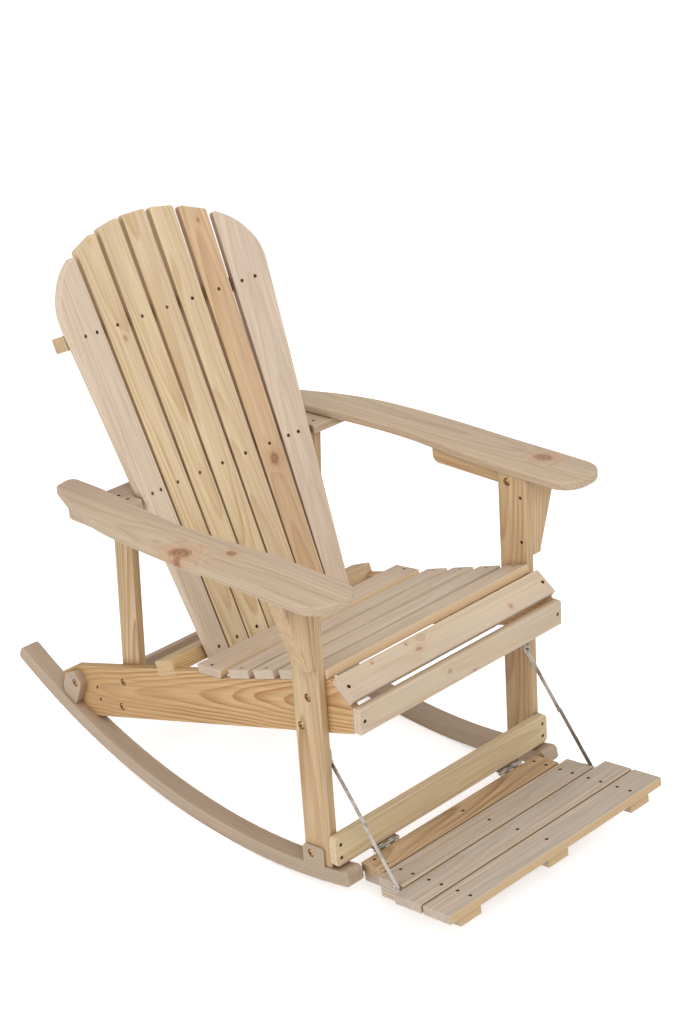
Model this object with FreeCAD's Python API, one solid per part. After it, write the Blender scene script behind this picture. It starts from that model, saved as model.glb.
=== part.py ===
import FreeCAD, Part
import math
import os

os.makedirs("parts", exist_ok=True)

# A slatted garden rocking chair with a hinged footrest, in millimetres.
# +Z is up, the chair faces -Y and +X is the sitter's left.
# Every piece is drawn on the level chair: arms level, legs upright, and the
# centre of the rockers' arc straight above the origin. At the end all pieces
# turn back together about that centre by rest_pitch, the way the chair stands
# by itself, so the origin is the place on the floor where the rockers touch.

# Rockers
rocker_radius = 1212.6
rocker_depth = 29.6
rocker_width = 38.0
rocker_front_angle = 13.2
rocker_rear_angle = 32.05
rocker_end_chamfer = 6.0
rocker_overhang = 4.4
rocker_edge = 1.6
front_ear_thickness = 8.0
front_ear_setback = 16.0
front_ear_overhang = 3.0
front_ear_rise = 36.0
rear_ear_inset = 6.0
rear_ear_front = 453.0
rear_ear_rear = 509.0
rear_ear_lean = 24.0
rear_ear_rise = 70.5
rear_ear_front_slant = (19.0, 22.0)
rear_ear_rear_slant = (12.0, 36.0)
rear_ear_corner = 8.0
rest_pitch = 3.35

# Boards
slat_thickness = 17.0
frame_thickness = 17.0
frame_width = 520.8
board_edge = 1.6
board_corner = 2.5

# Side rails
rail_front_y = -292.5
rail_front_bottom = 335.0
rail_front_top = 384.0
rail_bottom_slope = 17.05
apron_slope = 36.0
seat_slope = 18.5
seat_base_y = 45.3
seat_base_height = 326.3
rear_seat_slope = 7.5
rail_step_clearance = 1.0
rail_step_rise = 3.4
rail_bevel_y = 485.0
rail_bevel_height = 206.3
rail_bevel_slope = 31.9
rail_rear_y = 527.0

# Front legs with the brackets and rails that hold the arms
leg_front_y = -231.0
leg_width = 66.0
arm_height = 603.5
bracket_thickness = 38.0
bracket_top_reach = 72.0
bracket_bottom_reach = 23.0
bracket_height = 156.5
bracket_foot = 10.0
arm_rail_depth = 31.5
arm_rail_rear_y = 14.0
arm_rail_corner = 28.0

# Rear posts
post_width = 50.0
post_lean = 4.15
post_top_behind = 13.1

# Arms: (distance outward from the side rail's outer face, y) along each edge
arm_thickness = 17.0
arm_edge = 3.5
arm_inner_edge = ((-4.4, -246.0), (-3.6, -110.0), (6.0, -20.0), (15.6, 88.0),
                  (9.0, 215.0), (-4.4, 318.0), (-3.4, 424.0))
arm_outer_edge = ((42.0, 415.0), (80.0, 324.0), (101.0, 239.0), (109.0, 145.0),
                  (111.0, 12.0), (106.6, -114.0), (107.6, -227.0))
arm_nose_y = -339.0
arm_nose_radius = 50.0
arm_nose_taper = 3.0
arm_tip_radius = 16.0

# Cross rail under the arms, behind the back
cross_rail_reach = 74.6
cross_rail_ahead = 24.7
cross_rail_behind = 60.3
cross_rail_corner = 22.0

# Back: it passes a point at the lower rail and leans back from there. Levels run
# up its face from the middle of the cross rail, and a flare is how far a line
# moves outward in 1000 mm of level
back_recline = 22.5
back_curve_radius = 1053.0
back_seat_y = 172.9
back_seat_height = 308.1
back_offset = -3.5
back_foot_drop = 23.5
back_crown_level = 498.0
crown_radius = 345.0
crown_turn = 208.0
shoulder_level = 368.0
back_gap_centres = (29.3, 86.5, 145.7)
back_gap_flares = (6.2, 18.5, 35.7)
back_edge_half = 211.0
back_edge_flare = 100.0
back_gap = 5.6
back_gap_flare = 9.6
back_slat_corner = 6.0
top_rail_level = 309.0
top_rail_half = 247.0
top_rail_rear = 31.0
lower_rail_rear = 60.0
lower_rail_end_front = 7.0
back_rail_thickness = 28.0
back_rail_front = -14.0
horn_clearance = 1.0
inner_screw_share = 0.21
outer_screw_share = 0.58

# Seat and aprons
seat_slat_width = 55.0
seat_slat_pitch = 71.7
seat_front_inset = 4.0
rear_seat_slat_width = 63.0
upper_apron_width = 52.6
upper_apron_inset = 5.4
lower_apron_height = 48.0
lower_apron_bottom = 338.0

# Stretchers
front_stretcher_overhang = 4.6
front_stretcher_bottom = 60.0
front_stretcher_height = 59.0
stretcher_corner = 10.0
rear_stretcher_height = 50.0
rear_stretcher_y = 418.2
rear_stretcher_rise = 50.6
rear_stretcher_lean = 13.8

# Footrest: distances run forward from the hinge axis along the slats' slope
footrest_slope = 6.1
foot_slat_width = 63.5
foot_slat_gap = 4.0
first_foot_slat_width = 57.0
foot_slat_rocker_clearance = 8.8
wide_foot_slats = 2
wide_foot_slat_overhang = 6.6
cleat_width = 53.0
cleat_thickness = 21.0
cleat_inset = 0.5
cleat_neck_inset = 4.0
cleat_toe = -7.5
foot_screw_inset = 13.0
foot_screw_spread = 29.5

# Hinges of the footrest
hinge_forward = 7.0
hinge_rise = 3.1
hinge_inset = 35.0
hinge_length = 60.0
hinge_leaf_thickness = 1.5
hinge_leaf_depth = 15.5
hinge_knuckle_radius = 3.2
hinge_knuckles = 5
hinge_knuckle_gap = 0.3
hinge_pin_radius = 1.6
hinge_pin_clearance = 0.05
hinge_swing_clearance = 0.5
hinge_screw_spread = 36.0

# Folding stays of the footrest
stay_pivot_height = 256.0
stay_pivot_setback = 6.0
stay_foot_reach = 121.0
stay_width = 9.0
stay_thickness = 1.5
stay_plate_thickness = 2.4
stay_clearance = 0.3
stay_rivet_radius = 2.2
stay_rivet_clearance = 0.08
stay_head_radius = 4.0
stay_head_height = 1.4
stay_joint_head_height = 0.6
stay_plate_width = 14.0
stay_plate_length = 36.0
stay_foot_plate_length = 30.0
stay_foot_plate_thickness = 3.2
stay_screw_spread = 22.0

# Screws and bolts
screw_head_radius = 3.7
screw_shank_radius = 1.9
screw_head_depth = 2.6
screw_sink = 0.8
screw_length = 30.0
screw_slot_width = 1.1
screw_slot_depth = 1.3
tack_head_radius = 2.4
tack_head_height = 0.9
tack_shank_radius = 1.2
tack_length = 11.0
bolt_head_radius = 7.2
bolt_head_height = 3.2
bolt_sink_radius = 8.2
bolt_sink = 2.2
bolt_shank_radius = 3.0
bolt_socket_flats = 5.0
bolt_socket_depth = 2.4
nut_barrel_radius = 4.6
nut_barrel_length = 9.0
bolt_end_gap = 2.0

# Where the screws and bolts of the frame sit. Setbacks run rearward from the
# front of the leg, rises run up from the edge or arc below
post_bolts = ((4.6, 78.0), (12.6, 20.8))
leg_bolts = ((29.1, 74.3), (50.9, 19.2))
front_ear_bolt = (48.3, 21.5)
rear_ear_bolt = (18.1, 51.1)
arm_rail_bolt = (44.5, 15.5)
bracket_screw_drops = (39.2, 127.5)
bracket_screw_setback = 12.8
leg_foot_screw = (28.0, 32.9)
post_screw_offsets = (-14.0, 12.0)
arm_screw_distances = (54.0, 134.0)
frame_screw_inset = 11.0
stretcher_screw_spread = 26.0
rear_stretcher_screw_spread = 24.8

Vector = FreeCAD.Vector
AXIS_X = Vector(1, 0, 0)
AXIS_Y = Vector(0, 1, 0)
AXIS_Z = Vector(0, 0, 1)

rail_outer = frame_width / 2
rail_inner = rail_outer - frame_thickness
leg_outer = rail_outer + frame_thickness
rocker_outer = leg_outer + rocker_overhang
rocker_inner = rocker_outer - rocker_width
rocker_top_radius = rocker_radius - rocker_depth
leg_rear_y = leg_front_y + leg_width
front_ear_front = leg_front_y + front_ear_setback
front_ear_rear = leg_rear_y + front_ear_overhang
cross_rail_underside = arm_height - frame_thickness
far = 4 * rocker_radius

nodes = {}
holes = []


def sine(angle):
    return math.sin(math.radians(angle))


def cosine(angle):
    return math.cos(math.radians(angle))


def slope_of(angle):
    return math.tan(math.radians(angle))


# Drawing and placing

def rounded_outline(points, radii):
    """A flat closed outline through the points, with an arc in each corner."""
    corners = [Vector(a, b, 0) for a, b in points]
    count = len(corners)
    if not hasattr(radii, "__len__"):
        radii = [radii] * count
    arcs = []
    for i, corner in enumerate(corners):
        back = corners[i - 1] - corner
        ahead = corners[(i + 1) % count] - corner
        shorter = min(back.Length, ahead.Length)
        half_angle = back.getAngle(ahead) / 2
        reach = min(radii[i] / math.tan(half_angle), shorter / 2)
        radius = reach * math.tan(half_angle)
        back.normalize()
        ahead.normalize()
        middle = back + ahead
        if radius < 0.01 or middle.Length < 1e-6:
            arcs.append((corner, None, corner))
            continue
        middle.normalize()
        crest = corner + middle * (radius / math.sin(half_angle) - radius)
        arcs.append((corner + back * reach, crest, corner + ahead * reach))
    edges = []
    for i, (start, crest, end) in enumerate(arcs):
        if crest is not None:
            edges.append(Part.Arc(start, crest, end).toShape())
        following = arcs[(i + 1) % count][0]
        if (following - end).Length > 1e-5:
            edges.append(Part.makeLine(end, following))
    return Part.Wire(edges)


def plate(points, radii, thickness, edge=0.0):
    """The outline given a thickness along its own normal, with its edges rounded."""
    solid = Part.Face(rounded_outline(points, radii)).extrude(Vector(0, 0, thickness))
    if edge <= 0:
        return solid
    rim = []
    for side in solid.Edges:
        heights = [vertex.Z for vertex in side.Vertexes]
        if max(heights) - min(heights) < 1e-6:
            rim.append(side)
    return solid.makeFillet(min(edge, 0.45 * thickness), rim)


def placed(shape, origin, across, up):
    """The drawing set in space: its first axis along across, its second along up."""
    rotation = FreeCAD.Rotation(across, up, across.cross(up), "XYZ")
    result = shape.copy()
    result.Placement = FreeCAD.Placement(origin, rotation)
    return result


def side_plate(points, radii, inner_x, thickness, edge=0.0):
    """A board drawn from the side, as (y, z), between two distances outward."""
    board = plate(points, radii, thickness, edge)
    return placed(board, Vector(inner_x, 0, 0), AXIS_Y, AXIS_Z)


def sloped(shape, x, y, z, slope):
    """A drawing laid on a slope that rises towards the front of the chair."""
    return placed(shape, Vector(x, y, z), AXIS_X, Vector(0, cosine(slope), -sine(slope)))


def slope_point(y, z, slope, rearward, above):
    """A point in the side view, measured along a slope and square to it."""
    return (y + rearward * cosine(slope) + above * sine(slope),
            z - rearward * sine(slope) + above * cosine(slope))


def box_between(low, high):
    return Part.makeBox(high[0] - low[0], high[1] - low[1], high[2] - low[2], Vector(*low))


def rod(radius, start, direction, length):
    return Part.makeCylinder(radius, length, start, direction)


def mirrored(shape):
    return shape.mirror(Vector(0, 0, 0), AXIS_X)


def mirrored_point(point):
    return Vector(-point.x, point.y, point.z)


def add(name, shape):
    nodes[name] = shape


def add_pair(name, left_shape):
    """The piece on the sitter's left and its mirror image on the right."""
    nodes[name + "_left"] = left_shape
    nodes[name + "_right"] = mirrored(left_shape)


def add_group(name, solids):
    nodes[name] = Part.makeCompound(solids)


# Fasteners

def cross_slot(seat, direction):
    span = 1.25 * screw_head_radius
    bars = []
    for width, depth in ((span, screw_slot_width), (screw_slot_width, span)):
        bar = Part.makeBox(width, depth, 2 * screw_slot_depth,
                           Vector(-width / 2, -depth / 2, -screw_slot_depth))
        bar.Placement = FreeCAD.Placement(seat, FreeCAD.Rotation(AXIS_Z, direction))
        bars.append(bar)
    return bars[0].fuse(bars[1])


def screw(head, direction, length=screw_length):
    """A sunk cross-slotted screw, driven into the boards along the direction."""
    direction = Vector(direction)
    direction.normalize()
    seat = head + direction * screw_sink
    cone = Part.makeCone(screw_head_radius, screw_shank_radius, screw_head_depth, seat, direction)
    neck = seat + direction * screw_head_depth
    shank = rod(screw_shank_radius, neck, direction, length - screw_sink - screw_head_depth)
    body = cone.fuse(shank)
    holes.append(body.fuse(rod(screw_head_radius, head - direction, direction, screw_sink + 1)))
    return body.cut(cross_slot(seat, direction))


def screws_both_sides(head, direction, length=screw_length):
    other = Vector(-direction.x, direction.y, direction.z)
    return [screw(head, direction, length), screw(mirrored_point(head), other, length)]


def domed_head(seat, outward):
    """A low round head with a hexagonal socket, standing outward from its seat."""
    radius = (bolt_head_radius ** 2 + bolt_head_height ** 2) / (2 * bolt_head_height)
    ball = Part.makeSphere(radius, seat - outward * (radius - bolt_head_height))
    head = ball.common(rod(bolt_head_radius, seat, outward, bolt_head_height))
    corner = bolt_socket_flats / math.sqrt(3)
    hexagon = [(corner * cosine(60 * i), corner * sine(60 * i)) for i in range(6)]
    socket = plate(hexagon, 0, 2 * bolt_socket_depth)
    floor = seat + outward * (bolt_head_height - bolt_socket_depth)
    socket.Placement = FreeCAD.Placement(floor, FreeCAD.Rotation(AXIS_Z, outward))
    return head.cut(socket)


def bolt_through(place, head_x, nut_x):
    """A bolt across the boards and its nut, at a (y, z) place."""
    inward = AXIS_X if nut_x > head_x else -AXIS_X
    head_seat = Vector(head_x, *place) + inward * bolt_sink
    nut_seat = Vector(nut_x, *place) - inward * bolt_sink
    grip = (nut_seat - head_seat).Length
    shank = rod(bolt_shank_radius, head_seat, inward, grip - bolt_end_gap)
    bolt = domed_head(head_seat, -inward).fuse(shank)
    barrel = rod(nut_barrel_radius, nut_seat - inward * nut_barrel_length, inward, nut_barrel_length)
    bore = rod(bolt_shank_radius, head_seat, inward, grip)
    nut = domed_head(nut_seat, inward).fuse(barrel).cut(bore)
    hole = bore.fuse(barrel)
    for seat, outward in ((head_seat, -inward), (nut_seat, inward)):
        hole = hole.fuse(rod(bolt_sink_radius, seat, outward, bolt_sink + 1))
    holes.append(hole)
    holes.append(mirrored(hole))
    return bolt, nut


def tack(head, direction, length=tack_length):
    """A small round-headed screw that holds a hinge leaf or a stay plate."""
    cap = rod(tack_head_radius, head - direction * tack_head_height, direction, tack_head_height)
    shank = rod(tack_shank_radius, head, direction, length)
    holes.append(shank)
    return cap.fuse(shank)


# Rockers

def on_arc(radius, angle):
    """A point of the side view on the rockers' arc, by its angle back from the lowest point."""
    return (radius * sine(angle), rocker_radius - radius * cosine(angle))


def arc_height(radius, y):
    return rocker_radius - math.sqrt(radius ** 2 - y ** 2)


def arc_disc(radius):
    return rod(radius, Vector(-far / 2, 0, rocker_radius), AXIS_X, far)


def rocker_bar():
    turn = math.degrees(rocker_end_chamfer / rocker_radius)
    front = -rocker_front_angle
    rear = rocker_rear_angle
    low, high = rocker_radius, rocker_top_radius
    chamfer = rocker_end_chamfer
    corners = [on_arc(low, front + turn), on_arc(low, rear - turn),
               on_arc(low - chamfer, rear), on_arc(high + chamfer, rear),
               on_arc(high, rear - turn), on_arc(high, front + turn),
               on_arc(high + chamfer, front), on_arc(low - chamfer, front)]
    points = [Vector(y, z, 0) for y, z in corners]
    under = Vector(*on_arc(low, (front + rear) / 2), 0)
    over = Vector(*on_arc(high, (front + rear) / 2), 0)
    edges = [Part.makeLine(points[i], points[(i + 1) % 8]) for i in range(8)]
    edges[0] = Part.Arc(points[0], under, points[1]).toShape()
    edges[4] = Part.Arc(points[4], over, points[5]).toShape()
    bar = Part.Face(Part.Wire(edges)).extrude(Vector(0, 0, rocker_width))
    rim = [edge for edge in bar.Edges
           if abs(edge.Vertexes[0].Z - edge.Vertexes[-1].Z) < 1e-6]
    bar = bar.makeFillet(rocker_edge, rim)
    return placed(bar, Vector(rocker_inner, 0, 0), AXIS_Y, AXIS_Z)


def front_ear():
    """The low ear that laps over the outside of the front leg."""
    root = rocker_depth / 2
    front = arc_height(rocker_top_radius, front_ear_front)
    rear = arc_height(rocker_top_radius, front_ear_rear)
    points = ((front_ear_front, front - root), (front_ear_rear, rear - root),
              (front_ear_rear, rear + 0.9 * front_ear_rise),
              (front_ear_rear - 6, rear + 1.1 * front_ear_rise),
              (front_ear_front, front + front_ear_rise))
    return side_plate(points, (0, 0, 4, 4, 4), rocker_outer - front_ear_thickness, front_ear_thickness)


def rear_ear():
    """The tall ear outside the side rail, leaning forward square to the rocker."""
    root = rocker_depth / 2
    foot_y = rear_ear_front + rear_ear_lean
    front = arc_height(rocker_top_radius, rear_ear_front)
    rear = arc_height(rocker_top_radius, rear_ear_rear)
    top = (front + rear) / 2 + rear_ear_rise
    points = ((foot_y, front - root), (rear_ear_rear, rear - root),
              (rear_ear_rear, top - rear_ear_rear_slant[1]),
              (rear_ear_rear - rear_ear_rear_slant[0], top - rear_ear_rear_slant[0]),
              (rear_ear_front + rear_ear_front_slant[0], top),
              (rear_ear_front, top - rear_ear_front_slant[1]),
              (foot_y, arc_height(rocker_top_radius, foot_y)))
    radii = (0, 0, rear_ear_corner, rear_ear_corner, rear_ear_corner, rear_ear_corner, 0)
    return side_plate(points, radii, rail_outer, rear_ear_outer - rail_outer)


def rocker():
    return rocker_bar().fuse(front_ear()).fuse(rear_ear())


rear_ear_outer = rocker_outer - rear_ear_inset


# Side frames

def seat_line(y):
    return seat_base_height + (seat_base_y - y) * slope_of(seat_slope)


def rail_shoulder():
    """The corner of the rail where the seat's slope meets the apron's slope."""
    rise = seat_base_height + seat_base_y * slope_of(seat_slope)
    drop = rail_front_top - rail_front_y * slope_of(apron_slope)
    y = (rise - drop) / (slope_of(apron_slope) + slope_of(seat_slope))
    return y, seat_line(y)


def seat_slat_front(index):
    """The lower front edge of a slat on the slope, counted from the front."""
    y, z = rail_shoulder()
    return slope_point(y, z, seat_slope, seat_front_inset + index * seat_slat_pitch, 0)


def seat_places():
    """Every seat slat's lower front edge, slope and width; the rear one is nearly level."""
    shoulder_y = rail_shoulder()[0]
    run = (seat_base_y - shoulder_y) / cosine(seat_slope) - seat_front_inset
    slope_slats = int((run + seat_slat_pitch - seat_slat_width) / seat_slat_pitch)
    places = [(*seat_slat_front(index), seat_slope, seat_slat_width) for index in range(slope_slats)]
    places.append((seat_base_y, seat_base_height, rear_seat_slope, rear_seat_slat_width))
    return places


def rail_lower_edge(y):
    return rail_front_bottom - (y - rail_front_y) * slope_of(rail_bottom_slope)


def side_rail():
    """The long rail: aprons and seat on its front part, then a long slope to the rear."""
    reach = rear_seat_slat_width + rail_step_clearance
    seat_end = slope_point(seat_base_y, seat_base_height, rear_seat_slope, reach, 0)
    step_top = (seat_end[0] + rail_step_clearance, seat_end[1] + rail_step_rise)
    rear_top = rail_bevel_height - (rail_rear_y - rail_bevel_y) * slope_of(rail_bevel_slope)
    points = ((rail_rear_y, rail_lower_edge(rail_rear_y)), (rail_rear_y, rear_top),
              (rail_bevel_y, rail_bevel_height), step_top, seat_end,
              (seat_base_y, seat_base_height), rail_shoulder(),
              (rail_front_y, rail_front_top), (rail_front_y, rail_front_bottom))
    board = side_plate(points, (0, 4, 8, 0, 0, 0, 3, 3, 6), rail_inner, frame_thickness, board_edge)
    return board.common(arc_disc(rocker_top_radius))


def front_leg():
    foot = arc_height(rocker_top_radius, leg_rear_y) - rocker_depth / 2
    points = ((leg_front_y, foot), (leg_rear_y, foot),
              (leg_rear_y, arm_height), (leg_front_y, arm_height))
    board = side_plate(points, 0, rail_outer, frame_thickness, board_edge)
    return board.common(arc_disc(rocker_top_radius))


def post_middle_y(z):
    return post_top_y + (cross_rail_underside - z) * slope_of(post_lean)


def post_foot():
    """The level where the middle of the post meets the lower edge of the side rail."""
    reach = post_top_y + cross_rail_underside * slope_of(post_lean)
    return rail_lower_edge(reach) / (1 - slope_of(rail_bottom_slope) * slope_of(post_lean))


def rear_post():
    half = post_width / 2 / cosine(post_lean)
    post_bottom = post_foot()
    points = ((post_middle_y(post_bottom) - half, post_bottom),
              (post_middle_y(post_bottom) + half, post_bottom),
              (post_top_y + half, cross_rail_underside), (post_top_y - half, cross_rail_underside))
    return side_plate(points, (board_corner, board_corner, 0, 0),
                      rail_inner - frame_thickness, frame_thickness, board_edge)


def arm_bracket():
    """A tapered block on the outside of the leg, flush with its front."""
    bottom = arm_height - bracket_height
    points = ((leg_outer, bottom), (leg_outer + bracket_bottom_reach - 2, bottom),
              (leg_outer + bracket_bottom_reach, bottom + bracket_foot),
              (leg_outer + bracket_top_reach, arm_height), (leg_outer, arm_height))
    block = plate(points, (0, board_corner, 3 * board_corner, 0, 0), bracket_thickness, board_edge)
    return placed(block, Vector(0, leg_front_y + bracket_thickness, 0), AXIS_X, AXIS_Z)


def arm_support_rail():
    front = leg_front_y + bracket_thickness
    bottom = arm_height - arm_rail_depth
    points = ((front, bottom), (arm_rail_rear_y, bottom),
              (arm_rail_rear_y, arm_height), (front, arm_height))
    return side_plate(points, (0, arm_rail_corner, 4, 0), leg_outer, frame_thickness, board_edge)


def arm():
    nose_inner = (arm_inner_edge[0][0], arm_nose_y)
    nose_outer = (arm_outer_edge[-1][0] - arm_nose_taper, arm_nose_y)
    offsets = arm_inner_edge + arm_outer_edge + (nose_outer, nose_inner)
    points = [(rail_outer + outward, y) for outward, y in offsets]
    radii = [far] * len(points)
    radii[len(arm_inner_edge) - 1] = arm_tip_radius
    radii[len(arm_inner_edge)] = arm_tip_radius
    radii[-2:] = [arm_nose_radius, arm_nose_radius]
    board = plate(points[::-1], radii[::-1], arm_thickness, arm_edge)
    return placed(board, Vector(0, 0, arm_height), AXIS_X, AXIS_Y)


# Back

back_up = Vector(0, sine(back_recline), cosine(back_recline))
back_ahead = Vector(0, -cosine(back_recline), sine(back_recline))
back_lower_length = (arm_height - frame_thickness / 2 - back_seat_height) / cosine(back_recline)
back_middle_y = back_seat_y + back_lower_length * sine(back_recline)
back_origin = Vector(back_offset, back_middle_y, arm_height - frame_thickness / 2)
lower_rail_level = -back_lower_length
back_foot_level = lower_rail_level - back_foot_drop
cross_rail_front_y = back_middle_y - cross_rail_ahead
cross_rail_rear_y = back_middle_y + cross_rail_behind
cross_rail_half = rail_outer + cross_rail_reach
post_top_y = back_middle_y + post_top_behind
outer_place = len(back_gap_centres)


def gap_centre(index, level):
    """The middle of a gap between slats, counted outward from the centre slat."""
    return back_gap_centres[index] + back_gap_flares[index] * level / 1000


def back_edge(level):
    return back_edge_half + back_edge_flare * level / 1000


def crown(x):
    return back_crown_level - crown_radius + math.sqrt(crown_radius ** 2 - x ** 2)


def slat_sides(place, level):
    """Both sides of a back slat at a level; place 0 is the centre slat."""
    side = abs(place)
    half_gap = (back_gap + back_gap_flare * level / 1000) / 2
    inner = -gap_centre(0, level) if side == 0 else gap_centre(side - 1, level)
    outer = back_edge(level) if side == outer_place else gap_centre(side, level)
    inner += half_gap
    if side < outer_place:
        outer -= half_gap
    return (inner, outer) if place >= 0 else (-outer, -inner)


def slat_plane(place):
    """A back slat's middle, its tilt about the back's length, and its axes."""
    left, right = slat_sides(place, 0)
    middle = (left + right) / 2
    tilt = math.degrees(math.atan(middle / back_curve_radius))
    bulge = middle ** 2 / (2 * back_curve_radius)
    origin = back_origin + AXIS_X * middle + back_ahead * bulge
    across = AXIS_X * cosine(tilt) + back_ahead * sine(tilt)
    return middle, tilt, bulge, origin, across


def slat_point(place, x, level):
    """A point on the front face of a back slat, and the way out of that face."""
    middle, tilt, _, origin, across = slat_plane(place)
    point = origin + across * ((x - middle) / cosine(tilt)) + back_up * level
    return point, across.cross(back_up)


def crown_crossing(side, edge):
    """Where one edge of a slat meets the crown."""
    level = crown(slat_sides(side, back_crown_level)[edge])
    for _ in range(8):
        level = crown(slat_sides(side, level)[edge])
    return slat_sides(side, level)[edge], level


def back_slat(place):
    middle, tilt, _, origin, across = slat_plane(place)
    side = abs(place)
    foot_inner, foot_outer = slat_sides(side, back_foot_level)
    if side == outer_place:
        outer_top = [(back_edge(shoulder_level), shoulder_level), (crown_turn, crown(crown_turn))]
        outer_radii = [far, far]
    else:
        outer_top = [crown_crossing(side, 1)]
        outer_radii = [back_slat_corner]
    points = [(foot_inner, back_foot_level), (foot_outer, back_foot_level)]
    points += outer_top + [crown_crossing(side, 0)]
    radii = [board_corner, board_corner] + outer_radii + [back_slat_corner]
    if place < 0:
        points = [(-x, level) for x, level in points[::-1]]
        radii = radii[::-1]
    flat = [((x - middle) / cosine(tilt), level) for x, level in points]
    board = plate(flat, radii, slat_thickness, board_edge)
    return placed(board, origin - across.cross(back_up) * slat_thickness, across, back_up)


def behind_slat(place, x):
    """How far the back face of a slat lies behind the centre slat's front face."""
    middle, tilt, bulge, _, _ = slat_plane(place)
    along = (x - middle - slat_thickness * sine(tilt)) / cosine(tilt)
    return slat_thickness * cosine(tilt) - bulge - along * sine(tilt)


def slat_bed(level, height):
    """The space in front of the slats' back faces, which the rails are cut back from."""
    side_tilt = slat_plane(outer_place)[1]
    limit = back_edge(level + height / 2) + slat_thickness * sine(side_tilt) + horn_clearance
    left_half = []
    for place in range(outer_place + 1):
        start = 0 if place == 0 else gap_centre(place - 1, level)
        end = limit if place == outer_place else gap_centre(place, level)
        left_half += [(start, behind_slat(place, start)), (end, behind_slat(place, end))]
    right_half = [(-x, depth) for x, depth in left_half[:0:-1]]
    front = -4 * slat_thickness
    points = right_half + left_half[1:] + [(limit, front), (-limit, front)]
    block = plate(points, 0, height)
    return placed(block, back_origin + back_up * (level - height / 2), AXIS_X, -back_ahead)


def back_rail(level, middle_x, half, front, rear):
    """A rail square to the slats, hollowed along its front to take them."""
    left = middle_x - back_offset - half
    right = middle_x - back_offset + half
    points = ((left, front), (right, front), (right, rear), (left, rear))
    board = plate(points, board_corner, back_rail_thickness, board_edge)
    base = back_origin + back_up * (level - back_rail_thickness / 2)
    board = placed(board, base, AXIS_X, -back_ahead)
    return board.cut(slat_bed(level, 2 * back_rail_thickness))


def top_back_rail():
    return back_rail(top_rail_level, back_offset, top_rail_half, back_rail_front, top_rail_rear)


def lower_back_rail():
    return back_rail(lower_rail_level, 0, rail_outer, lower_rail_end_front, lower_rail_rear)


def arm_cross_rail():
    half = cross_rail_half
    points = ((-half, cross_rail_front_y), (half, cross_rail_front_y),
              (half, cross_rail_rear_y), (-half, cross_rail_rear_y))
    board = plate(points, (12, 12, cross_rail_corner, cross_rail_corner), frame_thickness, board_edge)
    board.translate(Vector(0, 0, cross_rail_underside))
    return board.cut(slat_bed(0, 4 * frame_thickness))


# Seat, aprons and stretchers

def cross_board(half, width):
    """A slat that lies across the chair, drawn from its front edge rearward."""
    points = ((-half, 0), (half, 0), (half, width), (-half, width))
    return plate(points, board_corner, slat_thickness, board_edge)


def seat_slat(y, z, slope, width):
    return sloped(cross_board(rail_outer, width), 0, y, z, slope)


def upper_apron_front():
    y, z = rail_shoulder()
    return slope_point(y, z, -apron_slope, -upper_apron_inset - upper_apron_width, 0)


def upper_apron():
    return sloped(cross_board(rail_outer, upper_apron_width), 0, *upper_apron_front(), -apron_slope)


def upright_board(half, height, corner, thickness):
    """A board that stands across the chair, drawn from its lower edge up."""
    points = ((-half, 0), (half, 0), (half, height), (-half, height))
    return plate(points, corner, thickness, board_edge)


def lower_apron():
    board = upright_board(rail_outer, lower_apron_height, board_corner, slat_thickness)
    return placed(board, Vector(0, rail_front_y, lower_apron_bottom), AXIS_X, AXIS_Z)


def front_stretcher():
    half = leg_outer + front_stretcher_overhang
    board = upright_board(half, front_stretcher_height, stretcher_corner, frame_thickness)
    return placed(board, Vector(0, leg_front_y, front_stretcher_bottom), AXIS_X, AXIS_Z)


stretcher_up = Vector(0, sine(rear_stretcher_lean), cosine(rear_stretcher_lean))
stretcher_centre = Vector(0, rear_stretcher_y, rail_lower_edge(rear_stretcher_y) + rear_stretcher_rise)


def rear_stretcher():
    board = upright_board(rail_inner, rear_stretcher_height, 0, frame_thickness)
    corner = (stretcher_centre - stretcher_up * (rear_stretcher_height / 2)
              - AXIS_X.cross(stretcher_up) * (frame_thickness / 2))
    return placed(board, corner, AXIS_X, stretcher_up)


# Footrest

hinge_y = leg_front_y - frame_thickness - hinge_forward
hinge_z = front_stretcher_bottom - hinge_knuckle_radius
hinge_axis = Vector(0, hinge_y, hinge_z)
foot_ahead = Vector(0, -cosine(footrest_slope), sine(footrest_slope))
foot_above = Vector(0, sine(footrest_slope), cosine(footrest_slope))
foot_plate_face = rail_outer - stay_plate_thickness - stay_clearance
foot_plate_back = foot_plate_face - stay_foot_plate_thickness
foot_slat_halves = [rocker_inner - foot_slat_rocker_clearance, foot_plate_back]
foot_slat_halves += [leg_outer + wide_foot_slat_overhang] * wide_foot_slats
cleat_outer = foot_plate_back - cleat_inset
cleat_inner = cleat_outer - cleat_width
cleat_neck_outer = foot_slat_halves[0] - cleat_neck_inset
hinge_centre = cleat_inner - hinge_inset
foot_slat_widths = [first_foot_slat_width] + [foot_slat_width] * (len(foot_slat_halves) - 1)
foot_slat_starts = [hinge_knuckle_radius]
for previous_width in foot_slat_widths[:-1]:
    foot_slat_starts.append(foot_slat_starts[-1] + previous_width + foot_slat_gap)
foot_slats_end = foot_slat_starts[-1] + foot_slat_widths[-1]
cleat_underside = -hinge_rise - slat_thickness - cleat_thickness


def foot_point(x, ahead, above):
    return hinge_axis + AXIS_X * x + foot_ahead * ahead + foot_above * above


def foot_board(points, radii, above, thickness):
    """A board of the footrest, drawn as (x, distance ahead), by its underside."""
    turned = [(x, -ahead) for x, ahead in points[::-1]]
    board = plate(turned, radii[::-1], thickness, board_edge)
    return placed(board, foot_point(0, 0, above), AXIS_X, -foot_ahead)


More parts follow.
